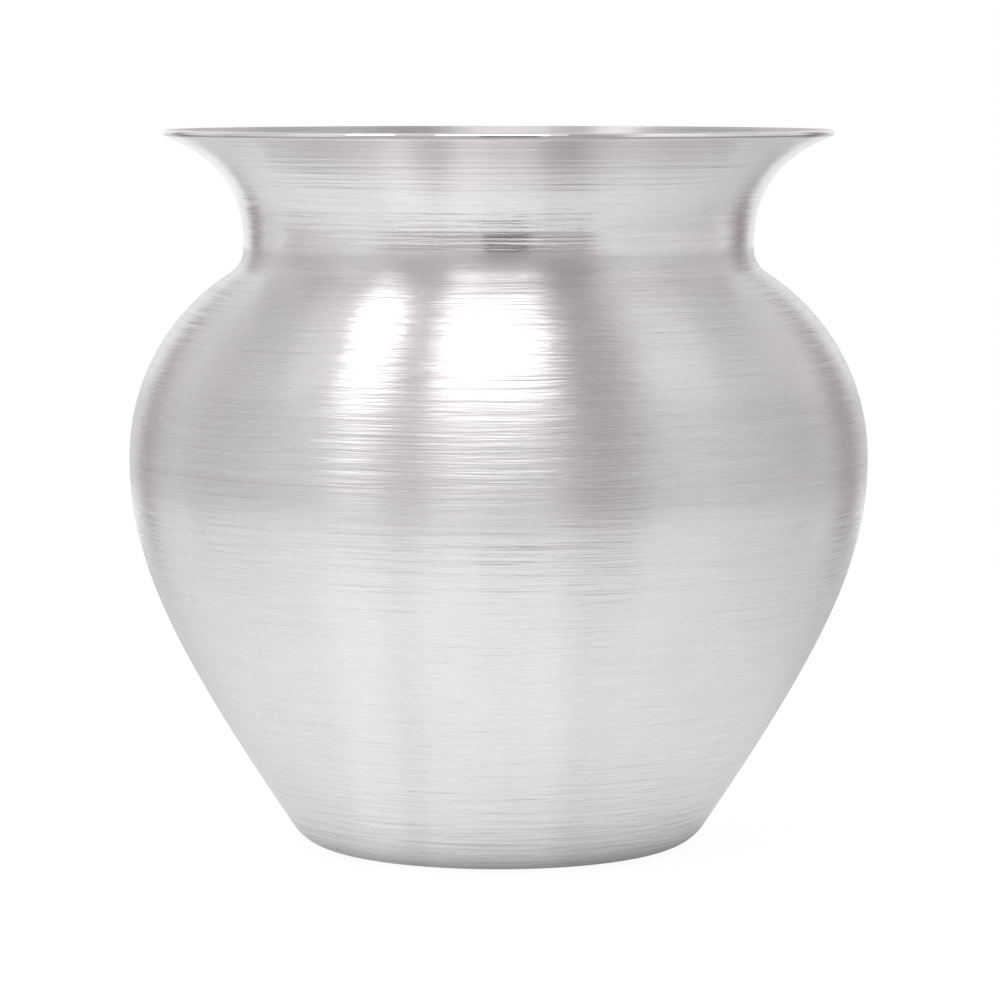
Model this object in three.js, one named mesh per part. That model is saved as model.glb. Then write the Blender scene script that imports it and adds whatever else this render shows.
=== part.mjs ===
// A lota: a metal water pot with a flat bottom, a round belly, a short neck and a flared mouth.
// It is made of three spun shells. The shoulder steps in under the bowl below it and under the mouth
// above it, and the solder in both lap seams is dressed flush with the outside.
// Millimetres, +Z up, origin at the middle of the bottom.
import * as THREE from 'three';

// Outer form, from the bottom up
const baseRadius = 24.1; // flat of the bottom
const cornerRadius = 6.5; // rounded edge of the bottom
const bellyRadius = 52.5; // widest point
const bellyHeight = 55.4; // level of the widest point
const flankDrop = 18; // below the widest point, where the flank's line would meet the belly's radius
const flankFullness = 0.786; // how far the curve of the flank follows that line
const bellyFullness = 0.755; // how far it stays upright below the widest point
const neckInset = 16.3; // from the widest point in to the narrowest
const shoulderRise = 29.65; // from the widest point up to the narrowest
const creaseRadius = 4.2; // hollow between the shoulder and the neck
const mouthFlare = 11.3; // from the narrowest point out to the lip
const mouthRise = 16.75; // from the narrowest point up to the top of the lip
const flareAngle = 68.4; // slope of the brim, degrees from upright
const flareFullness = 0.705; // how far the mouth follows the neck's line and then the brim's

// Sheet and seams
const sheet = 0.9; // wall of all three shells
const lap = 3; // length of a shoulder tongue under its neighbour
const solderFilm = 0.12; // solder between two lapped walls
const seamWidth = 0.4; // solder line that shows outside
const joggle = 1.5; // length of wall in which the shoulder steps in to its tongue
const neckSeamAngle = 32; // how far round the crease below the narrowest point the neck seam runs, degrees

// Fineness of the facets
const turnSteps = 60;
const cornerSteps = 5;
const flankSteps = 8;
const shoulderSteps = 8;
const creaseSteps = 2;
const mouthSteps = 9;
const lapSteps = 2;
const lipSteps = 4;

const widest = new THREE.Vector2(bellyRadius, bellyHeight);
const narrowest = new THREE.Vector2(bellyRadius - neckInset, bellyHeight + shoulderRise);
const neckSeamTurn = THREE.MathUtils.degToRad(neckSeamAngle);

// The outer line of the bowl: a round bottom corner, then a curve between two tangents,
// the flank's line off the corner and the upright at the widest point.
function bowlOutline() {
  const cornerCentre = new THREE.Vector2(baseRadius, cornerRadius);
  const aim = new THREE.Vector2(bellyRadius, bellyHeight - flankDrop);
  const toAim = aim.clone().sub(cornerCentre);
  const cornerTurn = toAim.angle() - Math.acos(cornerRadius / toAim.length());
  const corner = new THREE.EllipseCurve(
    cornerCentre.x, cornerCentre.y, cornerRadius, cornerRadius, -Math.PI / 2, cornerTurn);
  const cornerEnd = corner.getPoint(1);
  const flank = new THREE.CubicBezierCurve(
    cornerEnd, cornerEnd.clone().lerp(aim, flankFullness), widest.clone().lerp(aim, bellyFullness), widest);
  return { corner, flank };
}

// The outer line of the shoulder: one arc off the widest point, which runs on into the crease.
// Its radius is the one that meets the crease smoothly.
function shoulderOutline() {
  const inset = neckInset - creaseRadius;
  const radius = (inset ** 2 + shoulderRise ** 2 - creaseRadius ** 2) / (2 * neckInset);
  const turn = Math.atan2(shoulderRise, radius - inset);
  const round = new THREE.EllipseCurve(bellyRadius - radius, bellyHeight, radius, radius, 0, turn);
  return { round, lowerCrease: creaseArc(turn, neckSeamTurn) };
}

// Part of the crease between two turns, counted down from the narrowest point.
function creaseArc(fromTurn, toTurn) {
  return new THREE.EllipseCurve(
    narrowest.x + creaseRadius, narrowest.y, creaseRadius, creaseRadius,
    Math.PI + fromTurn, Math.PI + toTurn, true);
}

// The outer line of the mouth: the upper crease, then the neck opening into the brim.
// It ends where the rounded edge of the lip begins.
function mouthOutline() {
  const slope = THREE.MathUtils.degToRad(flareAngle);
  const lipRadius = sheet / 2;
  const brimEnd = new THREE.Vector2(
    narrowest.x + mouthFlare - lipRadius * (1 - Math.cos(slope)),
    narrowest.y + mouthRise - lipRadius * (1 + Math.sin(slope)));
  const aim = new THREE.Vector2(narrowest.x, brimEnd.y - (brimEnd.x - narrowest.x) / Math.tan(slope));
  const flare = new THREE.CubicBezierCurve(
    narrowest, narrowest.clone().lerp(aim, flareFullness), brimEnd.clone().lerp(aim, flareFullness), brimEnd);
  return { upperCrease: creaseArc(neckSeamTurn, 0), flare };
}

// Several curves as one line.
function joined(...curves) {
  const line = new THREE.CurvePath();
  curves.forEach((curve) => line.add(curve));
  return line;
}

// Even steps along a line between two distances from its start, each with its direction
// and the direction out of the wall.
function stations(line, from, to, steps) {
  const length = line.getLength();
  return Array.from({ length: steps + 1 }, (_, step) => {
    const share = THREE.MathUtils.lerp(from, to, step / steps) / length;
    const along = line.getTangent(share);
    return { point: line.getPoint(share), along, out: new THREE.Vector2(along.y, -along.x) };
  });
}

// The stations' points, moved into the wall by a depth.
function inside(list, depth) {
  return list.map(({ point, out }) => point.clone().addScaledVector(out, -depth));
}

// The half-round edge of the lip, from the outside of the wall over to its inside.
function lipEdge({ point, along, out }) {
  const lipRadius = sheet / 2;
  const centre = point.clone().addScaledVector(out, -lipRadius);
  return Array.from({ length: lipSteps - 1 }, (_, step) => {
    const turn = (Math.PI * (step + 1)) / lipSteps;
    return centre.clone()
      .addScaledVector(out, lipRadius * Math.cos(turn))
      .addScaledVector(along, lipRadius * Math.sin(turn));
  });
}

// The solder of one seam: a film between the lapped walls, and the line that fills the outside.
// The seam's stations run from the step of the shoulder to the tip of its tongue.
function solderSection(seam) {
  const [step, ...covered] = seam;
  const film = inside([step, ...covered], sheet + solderFilm);
  return [...inside([covered[0], step], 0), ...film, ...inside(covered, sheet).reverse()];
}

// One tongue of the shoulder, from its step out to the tip and back along its inner side.
function tongueSection(seam) {
  return [...inside(seam, sheet + solderFilm), ...inside(seam, 2 * sheet + solderFilm).reverse()];
}

// A wall section turned about the upright axis into one piece.
function spun(name, section, finish) {
  const outline = THREE.ShapeUtils.isClockWise(section) ? [...section].reverse() : section;
  const geometry = new THREE.LatheGeometry(outline, turnSteps).rotateX(Math.PI / 2);
  const piece = new THREE.Mesh(geometry, new THREE.MeshStandardMaterial(finish));
  piece.name = name;
  return piece;
}

function closed(section) {
  return [...section, section[0].clone()];
}

// Stations of the three shells and of the two seams between them
const { corner, flank } = bowlOutline();
const bowlLine = joined(corner, flank);
const bowlLength = bowlLine.getLength();
const cornerLength = corner.getLength();
const bowlLap = stations(bowlLine, bowlLength - lap, bowlLength - seamWidth, lapSteps);
const bowlWall = [
  ...stations(bowlLine, 0, cornerLength, cornerSteps),
  ...stations(bowlLine, cornerLength, bowlLength - lap, flankSteps).slice(1, -1),
  ...bowlLap,
];

const { upperCrease, flare } = mouthOutline();
const mouthLine = joined(upperCrease, flare);
const mouthLap = stations(mouthLine, seamWidth, lap, lapSteps);
const mouthWall = [
  ...mouthLap,
  ...stations(mouthLine, lap, mouthLine.getLength(), mouthSteps).slice(1),
];

const { round, lowerCrease } = shoulderOutline();
const shoulderLine = joined(round, lowerCrease);
const shoulderLength = shoulderLine.getLength();
const shoulderWall = stations(shoulderLine, joggle, shoulderLength - joggle, shoulderSteps);
const [bellyStep] = stations(shoulderLine, 0, joggle, 1);
const neckEnd = stations(shoulderLine, shoulderLength - joggle, shoulderLength, creaseSteps).slice(1);
const neckStep = neckEnd.at(-1);

const bellySeam = [bellyStep, ...[...bowlLap].reverse()];
const neckSeam = [neckStep, ...mouthLap];

// Wall sections
const bowlSection = [
  new THREE.Vector2(0, 0),
  ...inside(bowlWall, 0),
  ...inside(bowlWall, sheet).reverse(),
  new THREE.Vector2(0, sheet),
];
const shoulderSection = closed([
  ...inside([bellyStep, ...shoulderWall, ...neckEnd], 0),
  ...tongueSection(neckSeam),
  ...inside(shoulderWall, sheet).reverse(),
  ...tongueSection(bellySeam).reverse(),
]);
const mouthSection = closed([
  ...inside(mouthWall, 0),
  ...lipEdge(mouthWall.at(-1)),
  ...inside(mouthWall, sheet).reverse(),
]);

const brushed = { color: 0xd3d0ce, roughness: 0.32, metalness: 1 };
const filler = { color: 0xc8c4bf, roughness: 0.4, metalness: 1 };

const lota = new THREE.Group();
lota.add(
  spun('lower_bowl', bowlSection, brushed),
  spun('shoulder', shoulderSection, brushed),
  spun('flared_mouth', mouthSection, brushed),
  spun('belly_solder', closed(solderSection(bellySeam)), filler),
  spun('neck_solder', closed(solderSection(neckSeam)), filler),
);

export default lota;
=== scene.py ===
# A round-bellied lota in satin silver: three spun shells and the solder of their two seams.
import math

import bmesh
import bpy
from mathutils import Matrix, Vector
from mathutils.geometry import interpolate_bezier


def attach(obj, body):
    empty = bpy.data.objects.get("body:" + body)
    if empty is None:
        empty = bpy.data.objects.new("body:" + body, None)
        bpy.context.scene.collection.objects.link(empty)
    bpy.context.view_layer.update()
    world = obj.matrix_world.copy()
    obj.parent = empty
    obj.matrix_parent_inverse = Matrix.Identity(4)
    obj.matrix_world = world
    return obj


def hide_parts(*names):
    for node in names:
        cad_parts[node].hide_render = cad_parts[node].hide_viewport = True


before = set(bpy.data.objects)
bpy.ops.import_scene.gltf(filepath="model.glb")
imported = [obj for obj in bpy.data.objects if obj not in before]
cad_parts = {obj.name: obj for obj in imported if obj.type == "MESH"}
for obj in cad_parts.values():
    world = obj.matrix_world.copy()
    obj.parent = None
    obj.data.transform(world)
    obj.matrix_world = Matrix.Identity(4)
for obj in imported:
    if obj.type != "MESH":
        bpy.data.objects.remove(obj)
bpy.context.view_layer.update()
scene = bpy.context.scene
mm = 0.001
micron = 0.000001
print("frame loaded:", ", ".join(sorted(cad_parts)))

# the sheet that all three shells are spun from, and how finely they are drawn
stock = {
    "sheet": 0.9,  # mm
    "turns": 240,  # faces round the axis
    "merge": 0.001,  # mm, points closer than this are one
    "crispAngle": 40.0,  # degrees, edges sharper than this aren't shaded smooth
}
sheet = stock["sheet"] * mm


def spot(radius, height):  # a point of the outline, from mm
    return Vector((radius, 0, height)) * mm


def arcLine(centre, radius, start, end, steps):
    turns = [start + (end - start) * step / steps for step in range(steps + 1)]
    return [centre + Vector((math.cos(turn), 0, math.sin(turn))) * radius * mm for turn in turns]


def curveLine(start, end, aim, startFullness, endFullness, steps):  # both ends point at the aim
    startHandle = start.lerp(aim, startFullness)
    endHandle = end.lerp(aim, endFullness)
    return interpolate_bezier(start, startHandle, endHandle, end, steps + 1)


def lineLength(line):
    return sum((there - here).length for here, there in zip(line, line[1:]))


def along(line, point):  # how far along a line a point on it lies
    gone = 0
    best = (math.inf, 0)
    for here, there in zip(line, line[1:]):
        step = there - here
        share = min(1, max(0, (point - here).dot(step) / step.length_squared))
        best = min(best, ((here + step * share - point).length, gone + step.length * share))
        gone += step.length
    return best[1]


def stretch(line, start, end):  # the part of a line between two distances along it
    part, gone = [], 0
    for here, there in zip(line, line[1:]):
        step = (there - here).length
        for cut in (start, end):
            if gone <= cut <= gone + step:
                part.append(here.lerp(there, (cut - gone) / step))
        if start < gone + step < end:
            part.append(there.copy())
        gone += step
    return sorted(part, key=lambda point: along(line, point))


def sunk(line, depth):  # a line moved into the wall
    moved = []
    for index, point in enumerate(line):
        run = line[min(index + 1, len(line) - 1)] - line[max(index - 1, 0)]
        moved.append(point - Vector((run.z, 0, -run.x)).normalized() * depth)
    return moved


# lower bowl, outside in mm as in the solids
bowlForm = {
    "baseRadius": 24.1,  # flat of the bottom
    "bottomRings": 4,
    "cornerRadius": 6.5,
    "cornerSteps": 14,
    "bellyRadius": 52.5,
    "bellyHeight": 55.4,
    "flankDrop": 18.0,  # under the widest point, where the flank aims
    "flankFullness": 0.786,
    "bellyFullness": 0.755,
    "flankSteps": 64,
}


def bowlLine():  # bottom corner, then the flank up to the widest point
    centre = spot(bowlForm["baseRadius"], bowlForm["cornerRadius"])
    widest = spot(bowlForm["bellyRadius"], bowlForm["bellyHeight"])
    aim = spot(bowlForm["bellyRadius"], bowlForm["bellyHeight"] - bowlForm["flankDrop"])
    reach = aim - centre
    turn = math.atan2(reach.z, reach.x) - math.acos(bowlForm["cornerRadius"] * mm / reach.length)
    corner = arcLine(centre, bowlForm["cornerRadius"], -math.pi / 2, turn, bowlForm["cornerSteps"])
    flank = curveLine(
        corner[-1], widest, aim, bowlForm["flankFullness"], bowlForm["bellyFullness"], bowlForm["flankSteps"])
    return corner + flank[1:]


# shoulder and the crease under the neck
shoulderForm = {
    "neckInset": 16.3,  # narrowest point, in from the widest
    "rise": 29.65,  # narrowest point, up from the widest
    "creaseRadius": 4.2,
    "neckSeamAngle": 32.0,  # degrees round the crease, down from the narrowest point
    "domeSteps": 44,
    "creaseSteps": 6,
}


def creaseLine(start, end, steps):  # turns counted down from the narrowest point
    centre = spot(
        bowlForm["bellyRadius"] - shoulderForm["neckInset"] + shoulderForm["creaseRadius"],
        bowlForm["bellyHeight"] + shoulderForm["rise"])
    return arcLine(centre, shoulderForm["creaseRadius"], math.pi + start, math.pi + end, steps)


def shoulderLine():  # one arc off the widest point, run on into the crease as far as the neck seam
    rise = shoulderForm["rise"]
    crease = shoulderForm["creaseRadius"]
    inset = shoulderForm["neckInset"] - crease
    radius = (inset**2 + rise**2 - crease**2) / (2 * shoulderForm["neckInset"])
    turn = math.atan2(rise, radius - inset)
    centre = spot(bowlForm["bellyRadius"] - radius, bowlForm["bellyHeight"])
    dome = arcLine(centre, radius, 0, turn, shoulderForm["domeSteps"])
    seamTurn = math.radians(shoulderForm["neckSeamAngle"])
    return dome + creaseLine(turn, seamTurn, shoulderForm["creaseSteps"])[1:]


# flared mouth, from the neck seam to the lip
mouthForm = {
    "flare": 11.3,  # lip, out from the narrowest point
    "rise": 16.75,  # lip, up from the narrowest point
    "flareAngle": 68.4,  # degrees from upright at the lip
    "fullness": 0.705,
    "creaseSteps": 8,
    "flareSteps": 48,
    "lipCorner": 60.0,  # degrees, edges sharper than this are eased
    "lipEase": 0.49,  # share of the sheet, just under half
    "lipSegments": 4,
}


def mouthLine():  # upper crease, then the neck opening into the brim, out to the tip of the lip
    slope = math.radians(mouthForm["flareAngle"])
    crease = creaseLine(math.radians(shoulderForm["neckSeamAngle"]), 0, mouthForm["creaseSteps"])
    narrowest = crease[-1]
    lip = stock["sheet"] / 2
    brimEnd = narrowest + spot(
        mouthForm["flare"] - lip * (1 - math.cos(slope)), mouthForm["rise"] - lip * (1 + math.sin(slope)))
    aim = Vector((narrowest.x, 0, brimEnd.z - (brimEnd.x - narrowest.x) / math.tan(slope)))
    flare = curveLine(
        narrowest, brimEnd, aim, mouthForm["fullness"], mouthForm["fullness"], mouthForm["flareSteps"])
    tip = brimEnd + Vector((math.sin(slope), 0, math.cos(slope))) * lip * mm
    return crease + flare[1:] + [tip]


def spun(line, closed):  # a line turned once round the axis
    bm = bmesh.new()
    verts = [bm.verts.new(point) for point in line]
    following = verts[1:] + verts[:1] if closed else verts[1:]
    edges = [bm.edges.new(pair) for pair in zip(verts, following)]
    bmesh.ops.spin(
        bm, geom=verts + edges, cent=(0, 0, 0), axis=(0, 0, 1), angle=math.tau, steps=stock["turns"],
        use_merge=True)
    bmesh.ops.remove_doubles(bm, verts=bm.verts, dist=stock["merge"] * mm)
    bmesh.ops.recalc_face_normals(bm, faces=bm.faces)
    return bm


def spunWall(line):  # sheet spun to a line, with its thickness inside
    bm = spun(line, closed=False)
    upright = min(bm.faces, key=lambda face: abs(face.normal.z))
    if upright.normal.xy.dot(upright.calc_center_median().xy) < 0:  # the wall must face away from the axis
        bmesh.ops.reverse_faces(bm, faces=bm.faces)
    bmesh.ops.solidify(bm, geom=bm.faces[:], thickness=sheet)
    return bm


def cornerEdges(bm, low, sharpness):  # the sharp edges above a level
    return [
        edge for edge in bm.edges
        if edge.calc_face_angle(0) > math.radians(sharpness) and all(vert.co.z >= low for vert in edge.verts)]


# which faces of a piece are its inside
insideSigns = {
    "inward": 0.05,  # a face turned this much toward the axis,
    "upward": 0.7,  # or this much up
    "below": 3.0,  # mm, where it lies lower than this
}


def markInside(bm):
    bm.normal_update()
    inside = bm.faces.layers.float.new("inside")
    for face in bm.faces:
        centre = face.calc_center_median()
        inward = face.normal.xy.dot(centre.xy) < -insideSigns["inward"] * centre.xy.length
        floorSide = face.normal.z > insideSigns["upward"] and centre.z < insideSigns["below"] * mm
        face[inside] = 1.0 if inward or floorSide else 0.0


def finishPiece(bm, name, node, material):
    markInside(bm)
    mesh = bpy.data.meshes.new(name)
    bm.to_mesh(mesh)
    bm.free()
    mesh.shade_smooth()
    mesh.set_sharp_from_angle(angle=math.radians(stock["crispAngle"]))
    mesh.materials.append(material)
    piece = bpy.data.objects.new(name, mesh)
    scene.collection.objects.link(piece)
    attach(piece, "root")
    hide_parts(node)
    print("made", name, len(mesh.polygons), "faces")


def place(tree, kind, feeds=None, **settings):  # one node, with values set or wires drawn to its inputs
    made = tree.nodes.new(kind)
    for key, value in settings.items():
        setattr(made, key, value)
    for socket, value in (feeds or {}).items():
        if isinstance(value, bpy.types.NodeSocket):
            tree.links.new(value, made.inputs[socket])
        else:
            made.inputs[socket].default_value = value
    return made


def cleared(holder):  # the node tree of a material or world, emptied
    holder.use_nodes = True
    holder.node_tree.nodes.clear()
    return holder.node_tree


def maths(tree, operation, *values, **settings):  # what a Math node puts out
    return place(tree, "ShaderNodeMath", dict(enumerate(values)), operation=operation, **settings).outputs[0]


def vectors(tree, operation, feeds):  # a Vector Math node's outputs
    return place(tree, "ShaderNodeVectorMath", feeds, operation=operation).outputs


def ranged(tree, value, start, end, low=0.0, high=1.0, easing="LINEAR"):  # what a Map Range node puts out
    return place(
        tree, "ShaderNodeMapRange",
        {"Value": value, "From Min": start, "From Max": end, "To Min": low, "To Max": high},
        interpolation_type=easing).outputs["Result"]


def between(tree, mask, low, high):  # from one value to another as a mask rises
    return ranged(tree, mask, 0.0, 1.0, low, high)


def mixed(tree, mask, first, second, blend="MIX"):  # from one colour to another as a mask rises
    return place(
        tree, "ShaderNodeMix", {"Factor": mask, 6: first, 7: second},
        data_type="RGBA", blend_type=blend).outputs[2]


def colourRamp(tree, share, stops):
    node = place(tree, "ShaderNodeValToRGB", {0: share})
    elements = node.color_ramp.elements
    while len(elements) > 1:
        elements.remove(elements[-1])
    for index, (position, colour) in enumerate(stops):
        element = elements[0] if index == 0 else elements.new(position)
        element.position = position
        element.color = colour
    return node.outputs[0]


def grey(level):
    return (level, level, level, 1)


def potPlace(tree):  # a point of the pot: as it is, across from the axis, how far that is, and its height
    coords = place(tree, "ShaderNodeTexCoord").outputs["Object"]
    across = vectors(tree, "MULTIPLY", {0: coords, 1: (1, 1, 0)})["Vector"]
    radius = vectors(tree, "LENGTH", {0: across})["Value"]
    height = place(tree, "ShaderNodeSeparateXYZ", {0: coords}).outputs["Z"]
    return coords, across, radius, height


# marks that the lathe leaves round the axis: sizes in mm along the wall, cells round it
latheMarks = {
    "Hairs": {"size": 0.16, "cells": 34.0, "detail": 1.0, "roughness": 0.6},
    "Brush": {"size": 0.30, "cells": 4.0, "detail": 2.0, "roughness": 0.6},
    "Streaks": {"size": 0.8, "cells": 2.6, "detail": 2.0, "roughness": 0.55},
    "Rings": {"size": 0.9, "cells": 0.5, "detail": 2.0, "roughness": 0.5},
}
cloudMark = {"scale": 45.0, "detail": 4.0, "roughness": 0.6}  # slow patches over the wall


def buildLatheMarks():
    group = bpy.data.node_groups.new("latheMarks", "ShaderNodeTree")
    group.interface.new_socket("Seed", in_out="INPUT", socket_type="NodeSocketFloat")
    for label in (*latheMarks, "Cloud"):
        group.interface.new_socket(label, in_out="OUTPUT", socket_type="NodeSocketFloat")
    seed = place(group, "NodeGroupInput").outputs["Seed"]
    leave = place(group, "NodeGroupOutput")
    coords, across, radius, height = potPlace(group)
    way = vectors(group, "NORMALIZE", {0: across})["Vector"]
    for label, mark in latheMarks.items():
        rate = 1 / (mark["size"] * mm)
        turn = vectors(group, "SCALE", {0: way, "Scale": mark["cells"]})["Vector"]
        lift = place(group, "ShaderNodeCombineXYZ", {"Z": maths(group, "MULTIPLY", height, rate)})
        where = vectors(group, "ADD", {0: turn, 1: lift.outputs["Vector"]})["Vector"]
        outward = maths(group, "MULTIPLY_ADD", radius, rate, seed)
        noise = place(
            group, "ShaderNodeTexNoise",
            {"Vector": where, "W": outward, "Scale": 1.0, "Detail": mark["detail"],
             "Roughness": mark["roughness"]}, noise_dimensions="4D")
        group.links.new(noise.outputs[0], leave.inputs[label])
    cloud = place(
        group, "ShaderNodeTexNoise",
        {"Vector": coords, "W": seed, "Scale": cloudMark["scale"], "Detail": cloudMark["detail"],
         "Roughness": cloudMark["roughness"]}, noise_dimensions="4D")
    group.links.new(cloud.outputs[0], leave.inputs["Cloud"])
    return group


marksGroup = buildLatheMarks()
print("lathe marks ready")

# silver, brushed round the axis; levels and reaches in mm
satinFinish = {
    "seed": 3.0,
    "light": (0.995, 0.982, 0.986, 1),
    "shade": (0.865, 0.851, 0.853, 1),
    "toneSpread": (1.55, 2.45),  # what four marks add up to, from shade to light
    "edgeTint": grey(0.95),
    "smooth": 0.30,
    "rough": 0.41,
    "roughSpread": (0.7, 1.3),  # what two marks add up to, from smooth to rough
    "anisotropic": 1.0,
    "smear": 0.25,  # a quarter turn, so highlights run across the brush lines
    "depth": {"Hairs": 34.0, "Brush": 85.0, "Streaks": 330.0, "Rings": 40.0},  # micrometres
    "dressed": ({"level": 58.5, "reach": 11.0, "rough": 0.43, "paintedLight": 0.0},),
    "dressedCore": 0.4,  # share of a band's reach before it fades
    "dressedDepth": 1.4,
    "lipFrom": 148.0,  # radius and height together
    "lipBlend": 0.3,
    "lipRough": 0.11,
    "lipDepth": 0.15,
    "paintedShadeBand": (148.25, 148.68),  # painted shade line under the lip: from and to, in the lip's measure
    "paintedShadeBlend": 0.15,
    "paintedShadeTone": (0.52, 0.49, 0.48, 1),
    "insideRough": 0.40,
    "insideTone": (0.74, 0.73, 0.725, 1),
}
bowlFinish = {
    **satinFinish,
    "smooth": 0.22,
    "rough": 0.29,
    "depth": {"Hairs": 22.0, "Brush": 60.0, "Streaks": 230.0, "Rings": 40.0},
}
turnedFinish = {
    **satinFinish,
    "seed": 11.0,
    "smooth": 0.15,
    "rough": 0.19,
    "depth": {"Hairs": 18.0, "Brush": 38.0, "Streaks": 90.0, "Rings": 170.0},
    "dressed": (
        {"level": 83.6, "reach": 2.7, "rough": 0.41, "paintedLight": 0.0},  # along the neck seam
        {"level": 97.5, "reach": 6.5, "rough": 0.25, "paintedLight": 0.6},  # under the brim, with painted light: a lighter tone standing in for reflected light
    ),
}
solderFinish = {
    **satinFinish,
    "seed": 17.0,
    "light": (0.97, 0.95, 0.946, 1),
    "shade": (0.84, 0.822, 0.818, 1),
}


def dressBands(tree, finish, height, share, rough):  # bands dressed by hand, rougher, and some lighter in tone as painted light
    dressed = 0.0
    for band in finish["dressed"]:
        away = maths(tree, "ABSOLUTE", maths(tree, "SUBTRACT", height, band["level"] * mm))
        core = band["reach"] * finish["dressedCore"] * mm
        mask = ranged(tree, away, core, band["reach"] * mm, 1.0, 0.0, "SMOOTHSTEP")
        rough = between(tree, mask, rough, band["rough"])
        # painted light: a band's tone lifted toward the light colour
        share = maths(tree, "ADD", share, maths(tree, "MULTIPLY", mask, band["paintedLight"]), use_clamp=True)
        dressed = maths(tree, "MAXIMUM", dressed, mask)
    return share, rough, dressed


def paintedLipShade(tree, finish, outer, inside):  # painted shade: a thin dark line along the lower side of the lip, standing in for shade under its edge
    lower, upper = (
        ranged(tree, outer, level * mm, (level + finish["paintedShadeBlend"]) * mm, easing="SMOOTHSTEP")
        for level in finish["paintedShadeBand"])
    unshaded = maths(tree, "MAXIMUM", upper, inside)
    return maths(tree, "SUBTRACT", lower, unshaded, use_clamp=True)


def markRelief(tree, finish, marks):  # height of all the marks together, in metres
    relief = 0.0
    for label, depth in finish["depth"].items():
        relief = maths(tree, "ADD", relief, maths(tree, "MULTIPLY", marks[label], depth * micron))
    return relief


def makeSilver(name, finish):
    material = bpy.data.materials.new(name)
    tree = cleared(material)
    marks = place(tree, "ShaderNodeGroup", {"Seed": finish["seed"]}, node_tree=marksGroup).outputs
    radius, height = potPlace(tree)[2:]
    outer = maths(tree, "ADD", radius, height)  # largest at the lip
    inside = place(tree, "ShaderNodeAttribute", attribute_name="inside").outputs["Fac"]
    # tone and roughness: fine brush lines over slow clouds
    lines = maths(tree, "ADD", marks["Brush"], marks["Streaks"])
    tone = maths(tree, "ADD", maths(tree, "ADD", lines, marks["Hairs"]), marks["Cloud"])
    share = ranged(tree, tone, *finish["toneSpread"])
    rough = ranged(tree, lines, *finish["roughSpread"], finish["smooth"], finish["rough"])
    share, rough, dressed = dressBands(tree, finish, height, share, rough)
    colour = mixed(tree, share, finish["shade"], finish["light"])
    # the lip's edge, burnished
    lipFull = finish["lipFrom"] + finish["lipBlend"]
    burnished = ranged(tree, outer, finish["lipFrom"] * mm, lipFull * mm, easing="SMOOTHSTEP")
    rough = between(tree, burnished, rough, finish["lipRough"])
    # the inside, left duller
    rough = between(tree, inside, rough, finish["insideRough"])
    colour = mixed(tree, inside, colour, finish["insideTone"], "MULTIPLY")
    # painted shade: the lip's lower side darkened in a thin line
    colour = mixed(tree, paintedLipShade(tree, finish, outer, inside), colour, finish["paintedShadeTone"], "MULTIPLY")
    # relief, deeper in the dressed bands and shallow on the lip
    deeper = between(tree, dressed, 1.0, finish["dressedDepth"])
    deeper = between(tree, burnished, deeper, finish["lipDepth"])
    relief = maths(tree, "MULTIPLY", markRelief(tree, finish, marks), deeper)
    bump = place(tree, "ShaderNodeBump", {"Strength": 1.0, "Distance": 1.0, "Height": relief})
    tangent = place(tree, "ShaderNodeTangent", direction_type="RADIAL", axis="Z")
    metal = place(
        tree, "ShaderNodeBsdfPrincipled",
        {"Base Color": colour, "Metallic": 1.0, "Roughness": rough, "Specular Tint": finish["edgeTint"],
         "Anisotropic": finish["anisotropic"], "Anisotropic Rotation": finish["smear"],
         "Tangent": tangent.outputs[0], "Normal": bump.outputs["Normal"]})
    place(tree, "ShaderNodeOutputMaterial", {"Surface": metal.outputs[0]})
    return material


bowlSilver = makeSilver("bowlSilver", bowlFinish)
satinSilver = makeSilver("satinSilver", satinFinish)
turnedSilver = makeSilver("turnedSilver", turnedFinish)
seamSolder = makeSilver("seamSolder", solderFinish)
print("silver ready")

# lap seams in mm: a tongue under the next shell, a film of solder between them and an open line outside
seamForm = {
    "lap": 3.0,
    "film": 0.12,
    "openLine": 0.4,
    "neckBead": 0.06,  # solder standing proud at the neck
}
lap = seamForm["lap"] * mm
openLine = seamForm["openLine"] * mm
lapDepth = sheet + seamForm["film"] * mm
bowlRun = bowlLine()
shoulderRun = shoulderLine()
mouthRun = mouthLine()
bowlEnd = lineLength(bowlRun)
bowlLap = stretch(bowlRun, bowlEnd - lap, bowlEnd - openLine)
mouthLap = stretch(mouthRun, openLine, lap)

# lower bowl: bottom, corner and flank in one shell
rings = bowlForm["bottomRings"]
bottomRun = [spot(bowlForm["baseRadius"] * ring / rings, 0) for ring in range(rings)]
bowl = spunWall(bottomRun + stretch(bowlRun, 0, bowlEnd - openLine))
finishPiece(bowl, "lowerBowl", "lower_bowl", bowlSilver)

# shoulder: the dome, stepped in at both ends to a tongue under its neighbour
bellyTongue = sunk([bowlLap[0], bowlLap[-1]], lapDepth)
neckTongue = sunk([mouthLap[0], mouthLap[-1]], lapDepth)
shoulder = spunWall(bellyTongue + shoulderRun + neckTongue)
finishPiece(shoulder, "shoulderDome", "shoulder", satinSilver)

# mouth: neck, flare and a half-round lip
mouth = spunWall(stretch(mouthRun, openLine, lineLength(mouthRun)))
lipEdges = cornerEdges(mouth, mouthRun[-1].z - sheet, mouthForm["lipCorner"])
bmesh.ops.bevel(
    mouth, geom=lipEdges, offset=sheet * mouthForm["lipEase"], offset_type="OFFSET",
    segments=mouthForm["lipSegments"], profile=0.5, affect="EDGES", material=-1)
finishPiece(mouth, "flaredMouth", "flared_mouth", turnedSilver)

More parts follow.
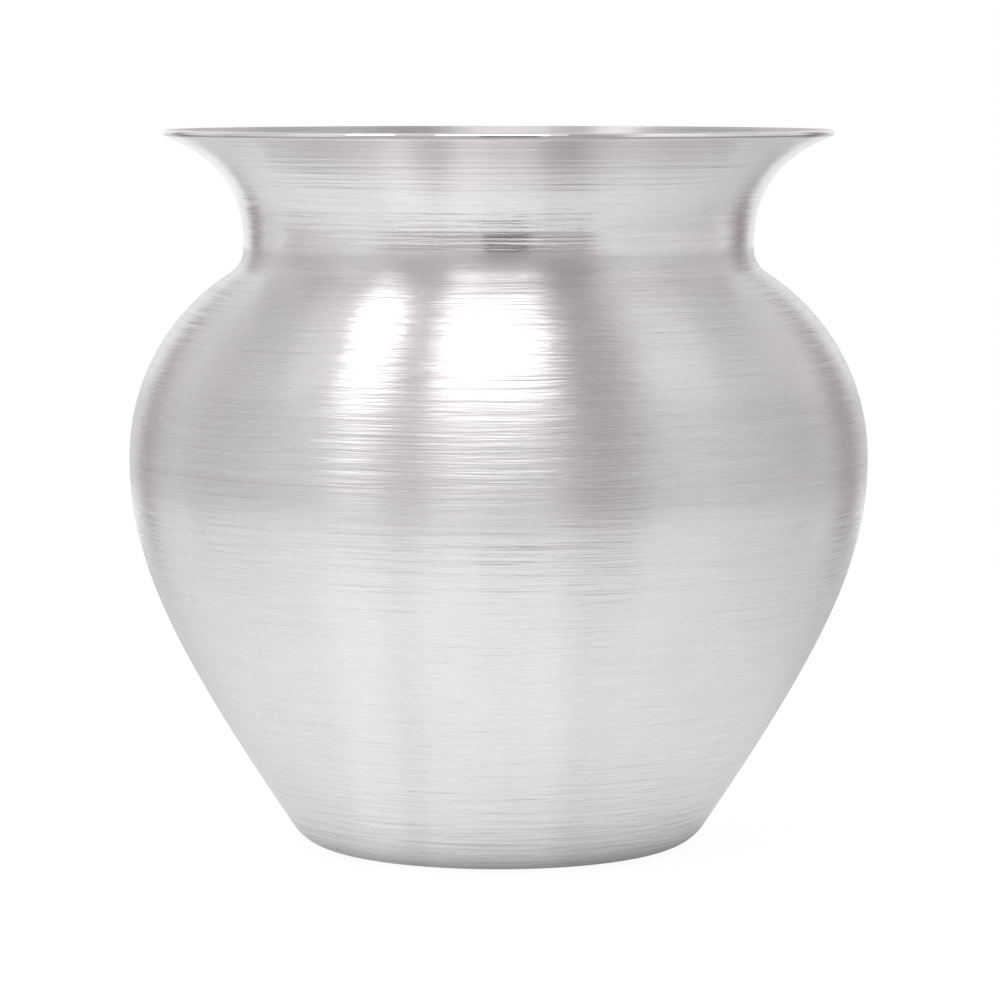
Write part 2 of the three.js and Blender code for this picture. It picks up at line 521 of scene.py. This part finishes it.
# solder: a film under each lap, drawn up flush at the belly and to a low bead at the neck
bellyFill = [bowlRun[-1], bowlLap[-1]] + sunk(bowlLap, sheet)[::-1] + sunk(bowlLap, lapDepth)
finishPiece(spun(bellyFill, closed=True), "bellySolder", "belly_solder", seamSolder)
bead = sunk(stretch(mouthRun, 0, openLine), -seamForm["neckBead"] * mm)[1:-1]
neckFill = [mouthRun[0]] + bead + [mouthLap[0]] + sunk(mouthLap, sheet) + sunk(mouthLap, lapDepth)[::-1]
finishPiece(spun(neckFill, closed=True), "neckSolder", "neck_solder", seamSolder)

# studio round the pot: grey by degrees round an axis that leans back over it, 0 in front, left negative
studio = {
    "lean": 15.0,
    # up to the top of the dark flags at both sides
    "strips": (
        (-180, 0.96), (-155, 0.90), (-149, 0.70), (-143, 0.40), (-137, 0.38), (-131, 0.61), (-114, 0.70),
        (-109, 0.58), (-104, 0.55), (-90, 0.60), (-62, 0.67), (-56, 0.61), (-50, 0.48), (-15, 0.41),
        (20, 0.37), (41, 0.37), (46, 0.65), (52, 0.72), (62, 0.71), (85, 0.67), (110, 0.59), (114, 0.62),
        (119, 0.68), (123, 0.66), (128, 0.51), (138, 0.30), (145, 0.42), (150, 0.63), (156, 0.82),
        (180, 0.94),
    ),
    # above the flags
    "upperStrips": (
        (-180, 0.96), (-155, 0.90), (-140, 0.68), (-120, 0.68), (-104, 0.58), (-90, 0.62), (-62, 0.67),
        (-56, 0.61), (-50, 0.48), (-15, 0.41), (20, 0.37), (41, 0.37), (46, 0.65), (52, 0.72), (85, 0.68),
        (110, 0.66), (138, 0.64), (152, 0.80), (180, 0.94),
    ),
    "warmth": 0.15,  # how far a dark strip leans to red
    "flagTop": (14.0, 26.0),  # degrees up, with a soft edge
    # dim, from these degrees up and only this far back, above the white backdrop
    "ceiling": {"level": 0.52, "from": 34.0, "to": 42.0, "behind": (0.2, 0.4)},
    # dark, in front of the pot, in degrees
    "tripod": {"turn": 3.5, "half": 10.0, "low": -24.0, "high": 31.0, "colour": (0.1792, 0.16, 0.16, 1)},
}


def bearing(tree, parts):  # angle round the upright in radians, 0 in front, left negative
    ahead = maths(tree, "MULTIPLY", parts["Y"], -1.0)
    return maths(tree, "ARCTAN2", parts["X"], ahead)


def bearingRamp(tree, turn, stops):  # a colour by bearing, with the stops in degrees
    share = ranged(tree, turn, -math.pi, math.pi)
    return colourRamp(tree, share, [((angle + 180) / 360, colour) for angle, colour in stops])


def tripodSide(tree, turn):  # the bearings that the tripod takes up
    tripod = studio["tripod"]
    return maths(tree, "COMPARE", turn, math.radians(tripod["turn"]), math.radians(tripod["half"]))


# floor: a round pale table top that keeps the pot's shadow, lengths in m
floorPaint = {
    "radius": 0.32,
    "segments": 96,
    "colour": 0.12,
    "seenGlow": 0.93,
    # glow that the silver mirrors, by distance from the shade's middle: low under and near the pot as a
    # painted shadow, dimmer far out
    "mirroredGlowAndPaintedShade": ((0.0, 0.13), (0.025, 0.20), (0.035, 0.65), (0.060, 0.71), (0.110, 0.62), (0.32, 0.56)),
    "shadeAt": (0.0015, 0.0, 0.0),  # middle of the painted shadow under the pot
    # painted reflection of the two panels on the table: gain of that glow by degrees round the pot
    "paintedSheen": (
        (-52, 1.0), (-44, 1.09), (-33, 1.09), (-26, 1.0), (-19, 1.09), (14, 1.09), (22, 0.98), (40, 1.0),
    ),
    "paintedShadeSide": 0.7,  # painted shade where the pot's shadow falls: how much less of it to the right and to the back, per m
    "paintedShadeBack": 1.0,
    "footShade": 0.08,  # painted shade on the table: how much less of it before the tripod
    "footReach": (0.19, 0.27),
}


def makePaint():
    material = bpy.data.materials.new("palePaint")
    tree = cleared(material)
    coords = place(tree, "ShaderNodeTexCoord").outputs["Object"]
    parts = place(tree, "ShaderNodeSeparateXYZ", {0: coords}).outputs
    turn = bearing(tree, parts)
    distance = vectors(tree, "DISTANCE", {0: coords, 1: floorPaint["shadeAt"]})["Value"]
    radius = floorPaint["radius"]
    # the glow the silver mirrors, with a painted shadow round the pot
    glowAndPaintedShade = colourRamp(
        tree, maths(tree, "DIVIDE", distance, radius),
        [(away / radius, grey(level)) for away, level in floorPaint["mirroredGlowAndPaintedShade"]])
    # painted shade to the right and to the back of the pot
    paintedShadeAndSheen = maths(tree, "MULTIPLY_ADD", parts["X"], -floorPaint["paintedShadeSide"], 1.0)
    paintedShadeAndSheen = maths(tree, "MULTIPLY_ADD", parts["Y"], -floorPaint["paintedShadeBack"], paintedShadeAndSheen)
    # painted shade of the tripod on the table
    foot = maths(tree, "MULTIPLY", tripodSide(tree, turn), ranged(tree, distance, *floorPaint["footReach"]))
    paintedShadeAndSheen = maths(tree, "MULTIPLY", paintedShadeAndSheen, maths(tree, "MULTIPLY_ADD", foot, -floorPaint["footShade"], 1.0))
    # painted reflection: the glow raised where the panels would mirror in the table
    paintedSheen = bearingRamp(tree, turn, [(angle, grey(level)) for angle, level in floorPaint["paintedSheen"]])
    paintedShadeAndSheen = maths(tree, "MULTIPLY", paintedShadeAndSheen, paintedSheen)
    glowAndPaintedShade = maths(tree, "MULTIPLY", glowAndPaintedShade, paintedShadeAndSheen)
    path = place(tree, "ShaderNodeLightPath").outputs
    mirroring = maths(tree, "MAXIMUM", path["Is Glossy Ray"], path["Is Transmission Ray"])
    seen = maths(tree, "MULTIPLY", path["Is Camera Ray"], floorPaint["seenGlow"])
    strength = maths(tree, "MULTIPLY_ADD", mirroring, glowAndPaintedShade, seen)
    paint = place(tree, "ShaderNodeBsdfDiffuse", {"Color": grey(floorPaint["colour"])})
    glow = place(tree, "ShaderNodeEmission", {"Strength": strength})
    both = place(tree, "ShaderNodeAddShader", {0: paint.outputs[0], 1: glow.outputs[0]})
    place(tree, "ShaderNodeOutputMaterial", {"Surface": both.outputs[0]})
    return material


def makeFloor():
    bm = bmesh.new()
    bmesh.ops.create_circle(bm, cap_ends=True, segments=floorPaint["segments"], radius=floorPaint["radius"])
    mesh = bpy.data.meshes.new("tableTop")
    bm.to_mesh(mesh)
    bm.free()
    mesh.materials.append(makePaint())
    floor = bpy.data.objects.new("tableTop", mesh)
    scene.collection.objects.link(floor)


makeFloor()
print("table ready")


def warmed(level):  # a grey that leans to red as it darkens
    warm = studio["warmth"] * (1 - level) ** 2
    return (level * (1 + warm), level * (1 - warm / 2), level * (1 - warm / 2), 1)


def upAt(angle):  # how high a direction this many degrees up reaches
    return math.sin(math.radians(angle))


def makeStudio():
    world = bpy.data.worlds.new("studio")
    scene.world = world
    tree = cleared(world)
    way = place(tree, "ShaderNodeTexCoord").outputs["Generated"]
    leaned = place(
        tree, "ShaderNodeVectorRotate", {"Vector": way, "Angle": math.radians(studio["lean"])},
        rotation_type="X_AXIS").outputs[0]
    turn = bearing(tree, place(tree, "ShaderNodeSeparateXYZ", {0: leaned}).outputs)
    lower, upper = (
        bearingRamp(tree, turn, [(angle, warmed(level)) for angle, level in studio[key]])
        for key in ("strips", "upperStrips"))
    # flags, ceiling and tripod go by the plain direction, without the lean
    parts = place(tree, "ShaderNodeSeparateXYZ", {0: way}).outputs
    flagLow, flagHigh = (upAt(angle) for angle in studio["flagTop"])
    overFlags = ranged(tree, parts["Z"], flagLow, flagHigh, easing="SMOOTHSTEP")
    colour = mixed(tree, overFlags, lower, upper)
    ceiling = studio["ceiling"]
    overhead = ranged(tree, parts["Z"], upAt(ceiling["from"]), upAt(ceiling["to"]), easing="SMOOTHSTEP")
    behind = ranged(tree, parts["Y"], *ceiling["behind"], easing="SMOOTHSTEP")
    colour = mixed(tree, maths(tree, "MULTIPLY", overhead, behind), colour, grey(ceiling["level"]))
    tripod = studio["tripod"]
    low, high = upAt(tripod["low"]), upAt(tripod["high"])
    tall = maths(tree, "COMPARE", parts["Z"], (low + high) / 2, (high - low) / 2)
    covered = maths(tree, "MULTIPLY", tripodSide(tree, bearing(tree, parts)), tall)
    colour = mixed(tree, covered, colour, tripod["colour"])
    # plain white to the camera itself
    path = place(tree, "ShaderNodeLightPath").outputs
    colour = mixed(tree, path["Is Camera Ray"], colour, grey(1.0))
    light = place(tree, "ShaderNodeBackground", {"Color": colour, "Strength": 1.0})
    place(tree, "ShaderNodeOutputWorld", {"Surface": light.outputs[0]})


makeStudio()

# two soft panels that lean back over the pot, the middle one with a bright foot and a dim hem, and scrims:
# left and right side, then from and to up the panel, in metres, and its glow, where 1 is white
panels = {
    "lean": 36.0,
    "distance": 0.8,
    "aimHeight": 0.075,
    "roll": {"left": 4.0},  # in its own plane, degrees
    "lamps": {
        "middle": ((-0.24, 0.185), (0.33, 0.54), 5.3),
        "middleFoot": ((-0.24, 0.185), (0.24, 0.33), 7.8),
        "middleHem": ((0.185, 0.27), (0.23, 0.54), 0.7),
        "left": ((-0.74, -0.45), (0.49, 0.99), 6.4),
        "leftScrim": ((-1.6, 0.27), (0.30, 1.5), 0.28),
        "lowScrim": ((-1.0, 0.27), (-0.05, 0.30), 0.15),
        "rightScrim": ((0.68, 1.6), (0.30, 1.5), 0.28),
    },
}


def makePanel(name, sides, ends, glow):
    lean = math.radians(panels["lean"])
    toward = Vector((0, -math.cos(lean), math.sin(lean)))
    upward = Vector((0, math.sin(lean), math.cos(lean)))
    light = bpy.data.lights.new(name + "Panel", "AREA")
    light.shape = "RECTANGLE"
    light.size = sides[1] - sides[0]
    light.size_y = ends[1] - ends[0]
    light.energy = glow * math.pi * light.size * light.size_y
    lamp = bpy.data.objects.new(name + "Panel", light)
    lamp.location = (
        Vector((0, 0, panels["aimHeight"])) + toward * panels["distance"]
        + upward * sum(ends) / 2 + Vector((sum(sides) / 2, 0, 0)))
    lamp.rotation_mode = "ZYX"
    lamp.rotation_euler = (math.radians(90) - lean, 0, math.radians(panels["roll"].get(name, 0)))
    lamp.visible_camera = False
    scene.collection.objects.link(lamp)


for name, (sides, ends, glow) in panels["lamps"].items():
    makePanel(name, sides, ends, glow)
print("studio ready")

# camera: a long lens a little above the belly
lens = {
    "place": (0.0002, -0.6496, 0.1092),  # m
    "dip": 5.29,  # degrees below level
    "length": 164.5,  # mm, as is the sensor
    "sensor": 36.0,
    "nearest": 0.01,  # m
}
cameraData = bpy.data.cameras.new("camera")
cameraData.lens = lens["length"]
cameraData.sensor_width = lens["sensor"]
cameraData.clip_start = lens["nearest"]
camera = bpy.data.objects.new("camera", cameraData)
camera.location = lens["place"]
camera.rotation_euler = (math.radians(90 - lens["dip"]), 0, 0)
scene.collection.objects.link(camera)
scene.camera = camera
scene.view_settings.view_transform = "Standard"
